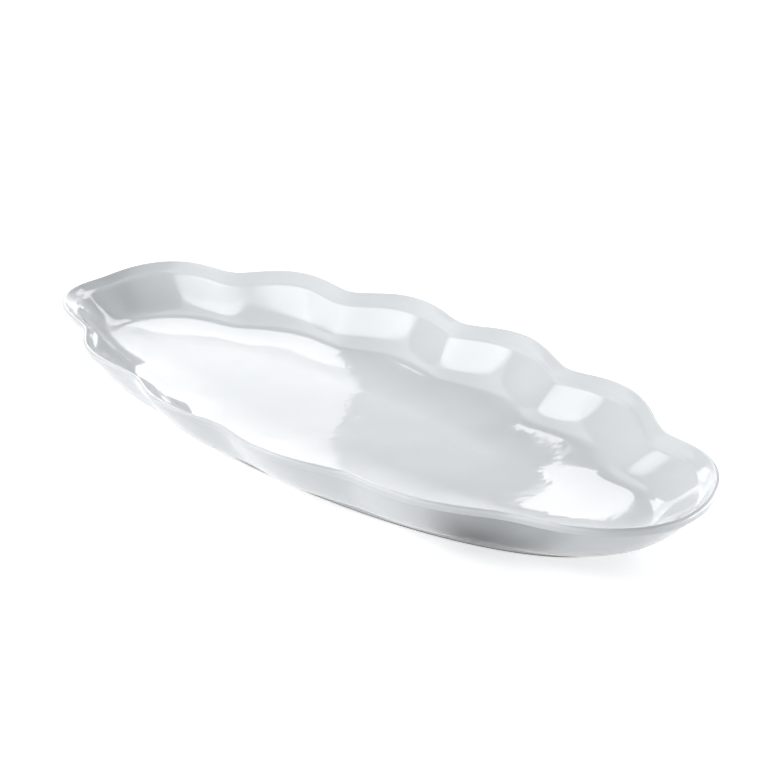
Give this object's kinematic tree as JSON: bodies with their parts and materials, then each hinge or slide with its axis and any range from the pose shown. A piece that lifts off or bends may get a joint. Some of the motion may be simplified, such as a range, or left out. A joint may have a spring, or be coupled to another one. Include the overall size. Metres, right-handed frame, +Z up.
{
  "type": "fish platter",
  "caption": "Long oval serving platter in white glazed porcelain with a flared, scalloped wall, a rolled lip and a low oval foot ring, for a whole cooked fish.",
  "frame": {"origin": "middle of the platter, on the plane that the foot ring stands on", "axes": "+X along the platter from end to end, +Y across it, +Z up out of the well"},
  "size_m": [0.5032, 0.2032, 0.0424],
  "materials": {
    "white_glaze": "clear gloss glaze over white porcelain",
    "foot_glaze": "thin gloss glaze, wiped bare where it stands"
  },
  "bodies": {
    "root": {"foot_ring": "foot_glaze", "well_floor": "white_glaze", "scalloped_wall": "white_glaze", "rim_lip": "white_glaze"}
  },
  "joints": []
}
